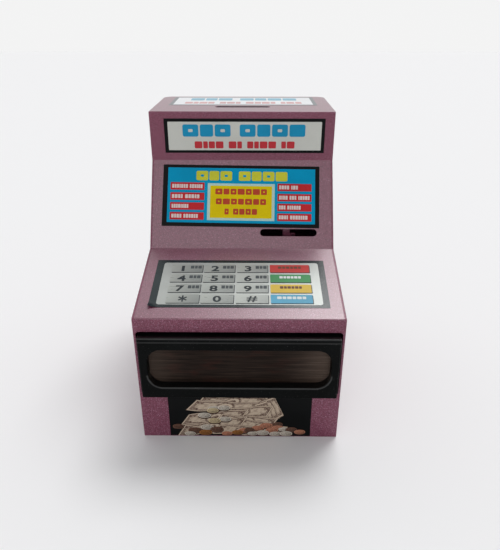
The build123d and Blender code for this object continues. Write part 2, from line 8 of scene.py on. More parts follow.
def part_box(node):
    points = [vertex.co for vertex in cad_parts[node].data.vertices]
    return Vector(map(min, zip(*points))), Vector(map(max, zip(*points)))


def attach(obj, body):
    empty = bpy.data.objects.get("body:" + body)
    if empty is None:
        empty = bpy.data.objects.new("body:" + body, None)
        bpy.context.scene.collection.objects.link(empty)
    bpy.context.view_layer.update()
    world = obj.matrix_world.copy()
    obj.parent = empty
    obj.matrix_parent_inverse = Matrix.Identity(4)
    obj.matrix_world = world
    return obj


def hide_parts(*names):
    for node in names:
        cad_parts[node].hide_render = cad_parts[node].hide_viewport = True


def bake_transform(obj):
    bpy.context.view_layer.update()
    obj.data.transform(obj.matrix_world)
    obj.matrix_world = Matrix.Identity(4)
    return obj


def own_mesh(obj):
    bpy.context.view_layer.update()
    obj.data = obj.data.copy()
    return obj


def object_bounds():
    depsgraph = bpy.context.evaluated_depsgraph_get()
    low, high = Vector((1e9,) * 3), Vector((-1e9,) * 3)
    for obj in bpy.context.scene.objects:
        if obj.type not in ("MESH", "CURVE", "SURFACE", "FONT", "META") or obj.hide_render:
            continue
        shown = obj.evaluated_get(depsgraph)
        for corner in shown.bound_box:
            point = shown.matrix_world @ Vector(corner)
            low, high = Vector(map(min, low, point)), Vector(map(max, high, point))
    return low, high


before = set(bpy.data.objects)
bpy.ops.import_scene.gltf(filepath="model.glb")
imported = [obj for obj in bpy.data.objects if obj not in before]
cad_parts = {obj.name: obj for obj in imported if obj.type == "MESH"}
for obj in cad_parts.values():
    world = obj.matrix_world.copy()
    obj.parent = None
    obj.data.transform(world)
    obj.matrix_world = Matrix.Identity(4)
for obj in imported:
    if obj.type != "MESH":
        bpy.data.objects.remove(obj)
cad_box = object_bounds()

# ---------------------------------------------------------------- the steel cabinet
# The cabinet is folded from 0.8 mm steel sheet: a fascia over the front, deck, screen, sign and top, and one
# sheet bent round for the sides and back. It is spot-welded and powder-coated in a dusty mauve with fine dark
# and silvery specks. The coat has laid thicker and glossier on the deck, the screen face and the top.
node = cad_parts
deck_foot = 0.1305            # height in metres of the fold between the front and the deck
screen_foot = 0.1535          # height of the fold between the deck and the screen face
screen_head = 0.2315          # height of the fold between the screen face and the sign face
sloping_back = 0.03           # the deck and the screen face lie wholly in front of this
side_wall = 0.003             # the side walls lie within this of the box's sides
top_height = cad_box[1][2]    # the top label's upper face
top_paint = 0.0004            # the painted top lies within this of that face
# the coin slot's cut walls are painted near black as shade, within these bounds
coin_slot_half = 0.0262       # half the coin slot's length, with a little to spare
coin_slot_middle = 0.0545     # how far back the coin slot is
coin_slot_edge = 0.0045       # half the slot's width, with a little to spare
coin_slot_top = 0.00032       # the slot's cut edge begins this far below the label's upper face
coin_slot_foot = 0.27         # and ends above this height


class Shade:
    """A socket of a material's node tree, so that shader maths is written as expressions."""

    def __init__(self, tree, socket=None):
        self.tree = tree
        self.socket = socket

    def add(self, kind, settings, inputs, out=0):
        made = self.tree.nodes.new("ShaderNode" + kind)
        for name, value in settings.items():
            setattr(made, name, value)
        for key, value in inputs.items():
            if isinstance(value, Shade):
                self.tree.links.new(value.socket, made.inputs[key])
            else:
                made.inputs[key].default_value = value
        return Shade(self.tree, made.outputs[out])

    def math(self, operation, first, second=0.0):
        return self.add("Math", {"operation": operation}, {0: first, 1: second})

    def __add__(self, other):
        return self.math("ADD", self, other)

    def __radd__(self, other):
        return self.math("ADD", other, self)

    def __sub__(self, other):
        return self.math("SUBTRACT", self, other)

    def __rsub__(self, other):
        return self.math("SUBTRACT", other, self)

    def __mul__(self, other):
        return self.math("MULTIPLY", self, other)

    def __rmul__(self, other):
        return self.math("MULTIPLY", other, self)

    def __gt__(self, other):
        return self.math("GREATER_THAN", self, other)

    def __lt__(self, other):
        return self.math("LESS_THAN", self, other)

    def __abs__(self):
        return self.math("ABSOLUTE", self)

    def mix(self, start, end):
        """A colour that goes from start to end as this value goes from 0 to 1."""
        return self.add("Mix", {"data_type": "RGBA"}, {0: self, 6: start, 7: end}, out=2)

    def between(self, low, high):
        """This value stretched so that low becomes 0 and high becomes 1, and held there beyond them."""
        return self.add("MapRange", {}, {0: self, 1: low, 2: high})


def finish_named(name, **constants):
    """A new material with its constant values: the material, its shader and the start of its nodes."""
    material = bpy.data.materials.new(name)
    material.use_nodes = True
    shader = next(n for n in material.node_tree.nodes if n.type == "BSDF_PRINCIPLED")
    for key, value in constants.items():
        shader.inputs[key.replace("_", " ")].default_value = value
    return material, shader, Shade(material.node_tree)


def feed(flow, shader, **values):
    """Links each value to the shader's socket of that name."""
    for key, value in values.items():
        flow.tree.links.new(value.socket, shader.inputs[key.replace("_", " ")])


def place_on(flow, size=(1, 1, 1)):
    """Object coordinates in units of a size, so that a long size draws a pattern out."""
    here = flow.add("TexCoord", {}, {}, out=3)
    return flow.add("Mapping", {"vector_type": "TEXTURE"}, {0: here, 3: size})


def parts(flow, vector):
    """The three parts of a vector."""
    first = flow.add("SeparateXYZ", {}, {0: vector})
    return [Shade(flow.tree, socket) for socket in first.socket.node.outputs]


def noise(flow, where, scale, detail=2.0):
    return flow.add("TexNoise", {}, {"Vector": where, "Scale": scale, "Detail": detail})


def bump(flow, height, strength, distance):
    return flow.add("Bump", {}, {"Height": height, "Strength": strength, "Distance": distance})


def wear(material, *names):
    """Gives CAD nodes a finish."""
    for name in names:
        node[name].data.materials.clear()
        node[name].data.materials.append(material)


def mauve_powder_coat():
    paint, shader, flow = finish_named(
        "mauve_powder_coat", Metallic=0.06, Specular_IOR_Level=0.5, Coat_Roughness=0.34, Coat_IOR=1.7
    )
    here = place_on(flow)
    specks = noise(flow, here, 1500, 1.0)
    mottle = noise(flow, here, 950, 2.0)
    cloud = noise(flow, here, 16, 2.0)
    body = mottle.between(0.3, 0.7).mix((0.130, 0.024, 0.050, 1), (0.245, 0.060, 0.110, 1))
    body = specks.between(0.60, 0.76).mix(body, (0.46, 0.26, 0.37, 1))
    body = specks.between(0.40, 0.28).mix(body, (0.055, 0.010, 0.024, 1))
    body = (cloud.between(0.3, 0.7) * 0.25).mix(body, (0.165, 0.036, 0.070, 1))
    sideways, along, up = parts(flow, here)
    across = abs(sideways)
    sloping = (up > deck_foot) * (up < screen_head)
    sloping = sloping * (along < sloping_back) * (across < cad_box[1][0] - side_wall)
    gloss = sloping * (0.74 + (up < screen_foot) * 0.16) + (up > top_height - top_paint) * 0.7
    # painted shade: the coin slot's cut walls are coloured near black, for the dark inside of the slot
    slot_painted_shade = (across < coin_slot_half) * (abs(along - coin_slot_middle) < coin_slot_edge)
    slot_painted_shade = slot_painted_shade * (up < top_height - coin_slot_top) * (up > coin_slot_foot)
    body = slot_painted_shade.mix(body, (0.012, 0.004, 0.007, 1))
    feed(
        flow,
        shader,
        Base_Color=body,
        Roughness=0.30 + mottle * 0.2,
        Coat_Weight=gloss,
        Normal=bump(flow, noise(flow, here, 1500, 2.0), 0.3, 0.0003),
    )
    return paint


paint = mauve_powder_coat()
wear(paint, "front_fascia", "back_shell", "base_plate", "spring_anchor", "trigger_arm")

# ---------------------------------------------------------------- rivets
# Dome-headed aluminium rivets hold the floor plate, the drawer's rails and the shaft brackets to the walls.
# They are left bare, with a faint grain and dull patches.


def bare_metal(name, colour, rough, grain, stretch=(1, 1, 1), patch=0.12):
    """A bare metal whose grain is drawn out along the axes that stretch makes long."""
    metal, shader, flow = finish_named(name, Metallic=1.0)
    dark = (*[c * (1 - patch) for c in colour], 1)
    streaks = noise(flow, place_on(flow, size=stretch), grain, 3.0)
    dull = noise(flow, place_on(flow), 60, 2.0)
    feed(
        flow,
        shader,
        Base_Color=(streaks * 0.5 + dull * 0.5).between(0.35, 0.65).mix(dark, (*colour, 1)),
        Roughness=rough - 0.08 + dull * 0.16,
        Normal=bump(flow, streaks, 0.15, 0.0002),
    )
    return metal


rivet_aluminium = bare_metal("rivet_aluminium", (0.78, 0.78, 0.79), 0.34, 900)
wear(rivet_aluminium, "base_rivets", "rail_rivets", "bracket_rivets")

# ---------------------------------------------------------------- rails and shaft brackets
# Channel rails and hat-shaped brackets are bent from zinc-plated strip and riveted inside the walls. The
# stamped hook is plated too. The plating shows a fine crystal pattern.


def zinc_plate():
    zinc, shader, flow = finish_named("zinc_plate", Metallic=1.0)
    here = place_on(flow)
    crystals = flow.add("TexVoronoi", {}, {"Vector": here, "Scale": 380.0}, out=1)
    tone = flow.add("SeparateColor", {}, {0: crystals})
    haze = noise(flow, here, 90, 3.0)
    feed(
        flow,
        shader,
        Base_Color=(tone * 0.5 + haze * 0.5).mix((0.46, 0.47, 0.49, 1), (0.72, 0.73, 0.74, 1)),
        Roughness=0.26 + haze * 0.2,
        Normal=bump(flow, haze, 0.1, 0.0003),
    )
    return zinc


wear(zinc_plate(), "left_rail", "right_rail", "left_shaft_bracket", "right_shaft_bracket", "latch_hook")

# ---------------------------------------------------------------- latch shaft, clips and screws
# The shaft is drawn steel rod held by two push-on spring clips. Four plated pan-head screws hold the drawer's
# front to its tray.
wear(bare_metal("drawn_rod", (0.55, 0.55, 0.56), 0.3, 700, (12, 1, 1)), "latch_shaft")
wear(bare_metal("screw_steel", (0.60, 0.59, 0.57), 0.32, 1100), "drawer_screws")
wear(bare_metal("clip_steel", (0.42, 0.43, 0.46), 0.36, 900), "shaft_clips")

# ---------------------------------------------------------------- drawer
# The drawer's tray and its hollow front are moulded in black plastic with a semi-gloss, slightly grained face
# that has picked up faint scuffs and dust. Fingers have polished its top edge and the window's lower rim.
front_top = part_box("drawer_front")[1].z
window_half = 0.0813          # half the width of the window at the front
window_foot = 0.0634          # height of the window's lower rim
window_corner = 0.0132        # radius of the window's lower corners
rim_offset = 0.0006           # from the window's edge out to the middle of the polished rim
rim_half = 0.0010             # half the polished rim's width
top_polish = 0.0012           # how far down from the top edge it is polished
step_depth = 0.0042           # how far below the top edge a second, fainter line is worn
step_half = 0.0007            # half that line's width


def black_plastic():
    plastic, shader, flow = finish_named("black_plastic", Specular_IOR_Level=0.05, Coat_Roughness=0.28)
    here = place_on(flow)
    scuffs = noise(flow, place_on(flow, size=(3, 1, 0.4)), 120, 4.0)
    dust = noise(flow, here, 900, 1.0)
    haze = noise(flow, here, 22, 2.0)
    body = haze.between(0.3, 0.7).mix((0.0016, 0.002, 0.002, 1), (0.004, 0.0048, 0.0048, 1))
    body = (dust.between(0.70, 0.78) * 0.5).mix(body, (0.09, 0.09, 0.09, 1))
    sideways, along, up = parts(flow, here)
    past_side = flow.math("MAXIMUM", abs(sideways) - (window_half - window_corner), 0.0)
    past_foot = flow.math("MAXIMUM", window_foot + window_corner - up, 0.0)
    from_centre = flow.math("SQRT", past_side * past_side + past_foot * past_foot)
    from_rim = abs(from_centre - window_corner - rim_offset)
    lower_rim = (from_rim < rim_half) * (up < window_foot + window_corner)
    top_edge = (up > front_top - top_polish) + (abs(up - (front_top - step_depth)) < step_half) * 0.6
    worn = (lower_rim + top_edge) * (0.55 + scuffs * 0.6)
    feed(
        flow,
        shader,
        Base_Color=body,
        Roughness=0.30 + scuffs.between(0.45, 0.75) * 0.18 + haze * 0.08,
        Coat_Weight=worn.between(0.0, 1.0),
        Normal=bump(flow, noise(flow, here, 1600, 1.0), 0.12, 0.0002),
    )
    return plastic


wear(black_plastic(), "drawer_tray", "drawer_front")

# ---------------------------------------------------------------- window panel
# The board seen in the drawer's window is dark brown with a fine horizontal wood grain under a gloss varnish.
# It is painted paler towards both ends, a painted reflection, and is held between the front's tunnel and the
# tray.
panel_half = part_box("window_panel")[1].x


def dark_woodgrain():
    wood, shader, flow = finish_named("dark_woodgrain", Specular_IOR_Level=0.06)
    grain = noise(flow, place_on(flow, size=(1, 0.05, 0.028)), 26, 5.0)
    fibre = noise(flow, place_on(flow, size=(1, 0.02, 0.012)), 60, 3.0)
    here = place_on(flow)
    sideways = parts(flow, here)[0]
    # painted reflection: the colour turns paler towards both ends of the panel
    painted_end_reflection = abs(sideways + panel_half * 0.08).between(panel_half * 0.45, panel_half * 1.02)
    painted_end_reflection = painted_end_reflection * painted_end_reflection + noise(flow, here, 30, 2.0).between(0.4, 0.9) * 0.15
    streak = grain * 0.6 + fibre * 0.4
    body = streak.between(0.34, 0.66).mix((0.0045, 0.0028, 0.0022, 1), (0.030, 0.019, 0.0145, 1))
    red = noise(flow, place_on(flow, size=(1, 1, 0.3)), 45, 2.0).between(0.55, 0.75) * 0.5
    body = red.mix(body, (0.036, 0.012, 0.009, 1))
    # the paler brown of the painted reflection at the ends
    pale = streak.between(0.3, 0.7).mix((0.045, 0.030, 0.022, 1), (0.125, 0.092, 0.074, 1))
    body = painted_end_reflection.mix(body, pale)
    feed(
        flow,
        shader,
        Base_Color=body,
        Roughness=0.35 + fibre * 0.2,
        Normal=bump(flow, streak, 0.3, 0.0003),
    )
    return wood


wear(dark_woodgrain(), "window_panel")

# ---------------------------------------------------------------- springs
# Both springs are wound from 0.7 mm bright drawn wire, with a full loop turned up at each end. The one beside
# the tray is stretched while the drawer is shut, and pulls it open. The close-wound one behind the card slot
# pulls the trigger arm back upright.
wire_radius = 0.00035
coil_radius = 0.00215
coil_steps = 14               # for each turn
loop_radius = 0.0025
loop_steps = 24
drawer_pitch = 0.0021
latch_pitch = 0.00085
spring_wire = bare_metal("spring_wire", (0.86, 0.86, 0.87), 0.32, 1500)


def piece(name, mesh, materials, body):
    """Makes a finished mesh an object that moves with a body."""
    data = bpy.data.meshes.new(name)
    mesh.to_mesh(data)
    mesh.free()
    for material in materials:
        data.materials.append(material)
    made = bpy.data.objects.new(name, data)
    bpy.context.scene.collection.objects.link(made)
    if body:
        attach(made, body)
    return made


def wire_ring(mesh, centre, axis, radius, turns, rise, steps):
    """Wire wound round an axis from a centre, rising along it by a pitch each turn."""
    axis = Vector(axis).normalized()
    start = axis.orthogonal().normalized()
    seat = Matrix.Translation(Vector(centre) + start * radius)
    facing = start.cross(axis).to_track_quat("Z", "Y").to_matrix().to_4x4()
    closed = turns == 1 and rise == 0
    section = bmesh.ops.create_circle(
        mesh, cap_ends=not closed, segments=8, radius=wire_radius, matrix=seat @ facing
    )["verts"]
    edges = list({edge for vert in section for edge in vert.link_edges})
    faces = list({face for vert in section for face in vert.link_faces})
    bmesh.ops.spin(
        mesh,
        geom=section + edges + faces,
        cent=centre,
        axis=axis,
        dvec=axis * rise / steps,
        angle=math.tau * turns,
        steps=round(steps * turns),
        use_merge=closed,
    )


def wire_bar(mesh, start, end):
    """A straight run of wire."""
    start, end = Vector(start), Vector(end)
    way = end - start
    facing = way.to_track_quat("Z", "Y").to_matrix().to_4x4()
    bmesh.ops.create_cone(
        mesh,
        cap_ends=True,
        segments=8,
        radius1=wire_radius,
        radius2=wire_radius,
        depth=way.length,
        matrix=Matrix.Translation((start + end) / 2) @ facing,
    )


def finished_wire(mesh):
    """Closes seams, turns faces outwards and smooths the wire."""
    bmesh.ops.remove_doubles(mesh, verts=mesh.verts, dist=1e-6)
    bmesh.ops.recalc_face_normals(mesh, faces=mesh.faces)
    for face in mesh.faces:
        face.smooth = True
    return mesh


def end_loop(name, centre, inwards, way, across, body):
    """A spring's end loop, with the short bar that joins it to the end of a coil wound along way."""
    mesh = bmesh.new()
    wire_ring(mesh, centre, inwards.cross(across), loop_radius, 1, 0, loop_steps)
    root = centre + inwards * loop_radius
    wire_bar(mesh, root, root + way.orthogonal().normalized() * coil_radius)
    return piece(name, finished_wire(mesh), [spring_wire], body)


def coil(name, first, last, pitch):
    """The coil between the centres of two end loops."""
    way = (last - first).normalized()
    start = first + way * loop_radius
    length = (last - first).length - 2 * loop_radius
    turns = round(length / pitch)
    mesh = bmesh.new()
    wire_ring(mesh, start, way, coil_radius, turns, length / turns, coil_steps)
    return piece(name, finished_wire(mesh), [spring_wire], None)


loop_reach = loop_radius + wire_radius
along, across = Vector((0, 1, 0)), Vector((1, 0, 0))
pull_low, pull_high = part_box("drawer_spring")
pull_middle = (pull_low + pull_high) / 2
pull_front = Vector((pull_middle.x, pull_low.y + loop_reach, pull_middle.z))
pull_back = Vector((pull_middle.x, pull_high.y - loop_reach, pull_middle.z))

drawer_coil = coil("drawer_spring_coil", pull_front, pull_back, drawer_pitch)
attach(drawer_coil, "cabinet")
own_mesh(drawer_coil)
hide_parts("drawer_spring")
end_loop("drawer_spring_front_loop", pull_front, along, along, across, "cabinet")
end_loop("drawer_spring_back_loop", pull_back, -along, along, across, "drawer")

latch_low, latch_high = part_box("latch_spring")
latch_x = (latch_low.x + latch_high.x) / 2
rest_low = Vector((latch_x, latch_low.y + loop_reach, latch_low.z + loop_reach))
rest_high = Vector((latch_x, latch_high.y - loop_reach, latch_high.z - loop_reach))
tilt_way = (rest_high - rest_low).normalized()
loop_across = tilt_way.cross(across)

latch_coil = coil("latch_spring_coil", rest_low, rest_high, latch_pitch)
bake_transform(latch_coil)
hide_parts("latch_spring")
end_loop("latch_spring_lower_loop", rest_low, tilt_way, tilt_way, loop_across, "cabinet")
end_loop("latch_spring_upper_loop", rest_high, -tilt_way, tilt_way, loop_across, "latch")

# ---------------------------------------------------------------- sign label
# Each label is a glossy printed film, 0.2 mm thick, stuck on the paint. The one on the sign face has a black
# border, a pale field, a bold blue title row and a smaller red row, printed here as plain blocks.
millimetre = 0.001
film = 0.0002
ink = 0.00006                 # thickness of each printed layer, which stands on the one below
pale, blue, red = range(3)    # the sign's inks, in the order of its print's materials


def label_face(name, slope, turn=0.0):
    """The axes of a label's upper surface, from its middle: across, along the face, and outwards."""
    low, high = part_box(name)
    axes = Matrix.Rotation(slope, 4, "X") @ Matrix.Rotation(turn, 4, "Z")
    return Matrix.Translation((low + high) / 2) @ axes @ Matrix.Translation((0, 0, film / 2))


def printed_film(name, colour, rough=0.26, fade=0.12, gloss=0.12, metal=0.0):
    """A printed colour under a gloss film, with slight fading and the film's faint waves."""
    printed, shader, flow = finish_named(name, Metallic=metal, Specular_IOR_Level=gloss)
    here = place_on(flow)
    cloud = noise(flow, here, 35, 3.0)
    dots = noise(flow, here, 1800, 1.0)
    faded = (*[c * (1 - fade) for c in colour], 1)
    feed(
        flow,
        shader,
        Base_Color=(cloud * 0.7 + dots * 0.3).between(0.38, 0.62).mix(faded, (*colour, 1)),
        Roughness=rough + cloud * 0.12,
        Normal=bump(flow, noise(flow, here, 60, 2.0), 0.08, 0.001),
    )
    return printed


def raise_faces(mesh, thick):
    """Gives a sheet its thickness, straight up, or down when it is negative."""
    raised = bmesh.ops.extrude_face_region(mesh, geom=mesh.faces)["geom"]
    verts = [element for element in raised if isinstance(element, bmesh.types.BMVert)]
    bmesh.ops.translate(mesh, vec=(0, 0, thick), verts=verts)


def add_part(mesh, part, matrix):
    """Moves a part into place and adds it to a mesh."""
    bmesh.ops.transform(part, matrix=matrix, verts=part.verts)
    data = bpy.data.meshes.new("part")
    part.to_mesh(data)
    part.free()
    mesh.from_mesh(data)
    bpy.data.meshes.remove(data)


def slab(mesh, face, centre, size, low, thick, ink_index=0, corner=0.0, edge_index=None):
    """A flat printed shape in millimetres on a label's axes, its corners rounded, standing on low."""
    part = bmesh.new()
    part.loops.layers.uv.new("UVMap")
    bmesh.ops.create_grid(part, x_segments=1, y_segments=1, size=0.5 * millimetre, calc_uvs=True)
    bmesh.ops.scale(part, vec=(*size, 1), verts=part.verts)
    if corner:
        bmesh.ops.bevel(
            part, geom=part.verts, offset=corner * millimetre, segments=4, profile=0.5,
            affect="VERTICES", material=-1,
        )
    raise_faces(part, thick)
    part.normal_update()
    for one in part.faces:
        flat = len(one.verts) > 4 or one.calc_area() > 2 * thick * max(size) * millimetre
        one.material_index = ink_index if flat or edge_index is None else edge_index
    seat = Matrix.Translation((centre[0] * millimetre, centre[1] * millimetre, low))
    add_part(mesh, part, face @ seat)


def block_row(mesh, face, centre, size, blocks, low, thick, index, gap=0.12, hole_index=None):
    """A row of plain blocks that fills a length: each figure is a width, and a space parts two groups."""
    usual = 5                 # a block's usual width, of which the gap and the space are shares
    space = 0.45
    widths = [int(figure) if figure != " " else 0 for figure in blocks]
    unit = size[0] / (sum(widths) + usual * (gap * (len(widths) - 1) + space * widths.count(0)))
    x = centre[0] - size[0] / 2
    for order, width in enumerate(widths):
        if width == 0:
            x += unit * usual * (space + gap)
            continue
        wide = width * unit
        middle = (x + wide / 2, centre[1])
        slab(mesh, face, middle, (wide, size[1]), low, thick, index, corner=min(wide, size[1]) * 0.16)
        if hole_index is not None and order % 2 == 0:
            hole = (wide * 0.28, size[1] * 0.24)
            slab(mesh, face, middle, hole, low + thick, thick, hole_index, corner=min(hole) * 0.3)
        x += wide + unit * usual * gap


black_film = printed_film("black_film", (0.004, 0.0046, 0.005), fade=0.3, gloss=0.08)
pale_ink = printed_film("pale_ink", (0.56, 0.57, 0.53), fade=0.06)
title_blue = printed_film("title_blue", (0.010, 0.270, 0.480))
sign_red = printed_film("sign_red", (0.50, 0.035, 0.045))
wear(black_film, "header_label", "screen_label")

sign = label_face("header_label", math.pi / 2)
sign_print = bmesh.new()
slab(sign_print, sign, (0.15, -0.2), (153.9, 28.2), 0, ink, pale, corner=0.6)
block_row(sign_print, sign, (-0.6, 5.3), (123, 12.0), "656 6566", ink, ink, blue, hole_index=pale)
block_row(sign_print, sign, (0, -8.9), (101, 7.0), "5345 53 4355 35", ink, ink, red)
piece("sign_label_print", sign_print, [pale_ink, title_blue, sign_red], "cabinet")

# ---------------------------------------------------------------- screen label
# The label on the leaning face is a picture of a cash machine's screen: a black border, a blue field with a
# yellow title row, a yellow panel with a pale rim, and four red menu bars on each side. It is stuck on askew.
screen_rise, screen_run = 77.5, 48.5
screen_slope = math.atan2(screen_rise, screen_run)
screen_tilt = math.radians(-0.73)
bar_length, bar_height = 34.6, 7.7
bar_middle = 54.6             # from the label's middle to the middle of each column of menu bars
bar_margin = 1.6              # from a bar's left end to its words
screen_blue = printed_film("screen_blue", (0.001, 0.330, 0.580), gloss=0.04)
screen_yellow = printed_film("screen_yellow", (0.80, 0.62, 0.004), gloss=0.04)
title_yellow = printed_film("title_yellow", (0.66, 0.66, 0.05), gloss=0.05)
pale_cyan = printed_film("pale_cyan", (0.50, 0.72, 0.66))
menu_red = printed_film("menu_red", (0.58, 0.028, 0.034), gloss=0.05)
menu_white = printed_film("menu_white", (0.78, 0.66, 0.64))
panel_red = printed_film("panel_red", (0.52, 0.060, 0.020))

screen = label_face("screen_label", screen_slope, screen_tilt)
screen_print = bmesh.new()
field, title, rim, panel, panel_words, bar, bar_words = range(7)
slab(screen_print, screen, (0.35, 0.4), (150.3, 57.0), 0, ink, field)
block_row(screen_print, screen, (0.7, 20.8), (93, 9.8), "656 6566", ink, ink, title, hole_index=field)
slab(screen_print, screen, (0.2, -6.25), (68.4, 38.3), ink, ink, rim)
slab(screen_print, screen, (0.2, -6.25), (62.8, 33.4), 2 * ink, ink, panel)
for y, width, blocks in ((4.4, 52.5, "6556565"), (-5.9, 51, "5655655"), (-16.3, 33, "4 5555")):
    block_row(
        screen_print, screen, (0.2, y), (width, 6.0), blocks, 3 * ink, ink, panel_words,
        gap=0.2, hole_index=panel,
    )
for y, left_words, right_words in (
    (9.6, (31, "5453545 454345"), (19, "4545 354")),
    (-1.0, (28, "4543 54534"), (31, "4345 454 35454")),
    (-11.2, (17, "45453454"), (22, "454 534545")),
    (-21.4, (27, "5454 454534"), (29, "4543 5454345")),
):
    for x, (length, blocks) in ((-bar_middle, left_words), (bar_middle, right_words)):
        slab(screen_print, screen, (x, y), (bar_length, bar_height), ink, ink, bar, corner=0.5)
        middle = (x - bar_length / 2 + bar_margin + length / 2, y)
        block_row(screen_print, screen, middle, (length, 4.0), blocks, 2 * ink, ink, bar_words, gap=0.2)
piece(
    "screen_label_print", screen_print,
    [screen_blue, title_yellow, pale_cyan, screen_yellow, panel_red, menu_red, menu_white],
    "cabinet",
)

# ---------------------------------------------------------------- keypad label
# The keypad is a printed and embossed film on the deck: a dark glossy border, a silver plate with rounded
# corners and sixteen keys that stand slightly proud. Its front left corner has come unstuck and curls up.
deck_rise, deck_run = 22.5, 100.5
keypad = label_face("keypad_label", math.atan2(deck_rise, deck_run))
keypad_low, keypad_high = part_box("keypad_label")
keypad_width = (keypad_high.x - keypad_low.x) / millimetre
keypad_length = 68.5
curl_reach, curl_rise = 7.4, 2.6
curl_across, curl_along = 0.62, 0.78
sharp_fold = 0.6              # radians
slate_film = printed_film("slate_film", (0.012, 0.024, 0.027), rough=0.18, gloss=0.38, fade=0.3)
silver_plate = printed_film("silver_plate", (0.40, 0.42, 0.40), rough=0.3, metal=0.3, fade=0.08, gloss=0.4)
key_edge = printed_film("key_edge", (0.075, 0.082, 0.085), fade=0.2)
number_ink = printed_film("number_ink", (0.042, 0.050, 0.056), fade=0.3)
key_red = printed_film("key_red", (0.56, 0.055, 0.050))
key_green = printed_film("key_green", (0.075, 0.300, 0.115))
key_yellow = printed_film("key_yellow", (0.72, 0.50, 0.075))
key_blue = printed_film("key_blue", (0.115, 0.400, 0.580))
key_white = printed_film("key_white", (0.72, 0.76, 0.76), fade=0.06)
soft_grey_ink = printed_film("soft_grey_ink", (0.085, 0.098, 0.103), fade=0.2)
dark_mark_ink = printed_film("dark_mark_ink", (0.16, 0.07, 0.045), fade=0.2)


def shaded_silver():
    """The keys' printed silver, which darkens towards each key's right side and foot."""
    silver, shader, flow = finish_named("key_silver", Metallic=0.25, Specular_IOR_Level=0.3)
    own = flow.add("UVMap", {"uv_map": "UVMap"}, {})
    rightwards, upwards = parts(flow, own)[:2]
    shade = (rightwards * 0.7 + (1 - upwards) * 0.3).between(0.1, 1.0)
    grain = noise(flow, place_on(flow, size=(6, 1, 1)), 500, 2.0)
    feed(
        flow,
        shader,
        Base_Color=(shade * 0.9 + grain * 0.1).mix((0.40, 0.42, 0.39, 1), (0.20, 0.215, 0.205, 1)),
        Roughness=0.24 + grain * 0.1,
    )
    return silver


key_silver = shaded_silver()

curled = bmesh.new()
bmesh.ops.create_grid(curled, x_segments=64, y_segments=28, size=0.5 * millimetre)
bmesh.ops.scale(curled, vec=(keypad_width, keypad_length, 1), verts=curled.verts)
for vert in curled.verts:
    from_left = vert.co.x / millimetre + keypad_width / 2
    from_front = vert.co.y / millimetre + keypad_length / 2
    inward = from_left * curl_across + from_front * curl_along
    lift = max(0.0, 1 - inward / curl_reach)
    vert.co.z += curl_rise * millimetre * lift**2
raise_faces(curled, -film)
bmesh.ops.transform(curled, matrix=keypad, verts=curled.verts)
bmesh.ops.recalc_face_normals(curled, faces=curled.faces)
for face in curled.faces:
    face.smooth = True
for edge in curled.edges:
    edge.smooth = edge.calc_face_angle(0) < sharp_fold
curled_film = piece("keypad_film", curled, [slate_film], "cabinet")
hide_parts("keypad_label")

columns = ((-50.75, 29.9), (-19.9, 29.9), (11.45, 29.6))     # middle and width of each column of silver keys
colour_column = (47.0, 37.9)  # the same of the coloured keys
rows = (20.9, 6.2, -8.5, -22.9)
key_height = 12.0
key_corner = 0.8
key_margin = 0.4              # how much smaller a key's face is than its dark edge
key_rise = 5 * ink
plate, silver_key, dark_edge, first_colour = range(4)
keys = bmesh.new()
keys.loops.layers.uv.new("UVMap")
slab(keys, keypad, (0.45, -0.25), (148.3, 60.5), 0, ink, plate, corner=2.6)
for row, y in enumerate(rows):
    for x, width in (*columns, colour_column):
        slab(keys, keypad, (x + 0.5, y - 0.6), (width, key_height), ink, ink, dark_edge, corner=key_corner)
        top_ink = silver_key if x != colour_column[0] else first_colour + row
        top_size = (width - key_margin, key_height - key_margin)
        slab(
            keys, keypad, (x, y), top_size, ink, key_rise, top_ink,
            corner=key_corner, edge_index=dark_edge,
        )
piece(
    "keypad_keys", keys,
    [silver_plate, key_silver, key_edge, key_red, key_green, key_yellow, key_blue],
    "cabinet",
)

numeral_height = 8.2
numeral_widen = 1.4
numeral_bold = {"1": 0.045, "#": 0.02}
usual_bold = 0.032
numeral_shift = 4             # how far left a number stands where small blocks share its key
star_arm = (8.4, 1.5)


def numeral(mesh, face, character, centre, low, thick):
    """One bold printed character on a label's axes, its middle at a place."""
    text = bpy.data.curves.new("numeral", "FONT")
    text.body = character
    text.offset = numeral_bold.get(character, usual_bold)
    text.extrude = 0.5
    text.resolution_u = 6
    holder = bpy.data.objects.new("numeral", text)
    bpy.context.scene.collection.objects.link(holder)
    bpy.context.view_layer.update()
    shape = bpy.data.meshes.new_from_object(holder.evaluated_get(bpy.context.evaluated_depsgraph_get()))
    bpy.data.objects.remove(holder)
    xs = [vert.co.x for vert in shape.vertices]
    ys = [vert.co.y for vert in shape.vertices]
    scale = numeral_height * millimetre / (max(ys) - min(ys))
    shape.transform(Matrix.Translation((-(min(xs) + max(xs)) / 2, -(min(ys) + max(ys)) / 2, 0.5)))
    shape.transform(Matrix.Diagonal((scale * numeral_widen, scale, thick, 1)))
    shape.transform(Matrix.Translation((centre[0] * millimetre, centre[1] * millimetre, low)))
    shape.transform(face)
    mesh.from_mesh(shape)
    bpy.data.meshes.remove(shape)


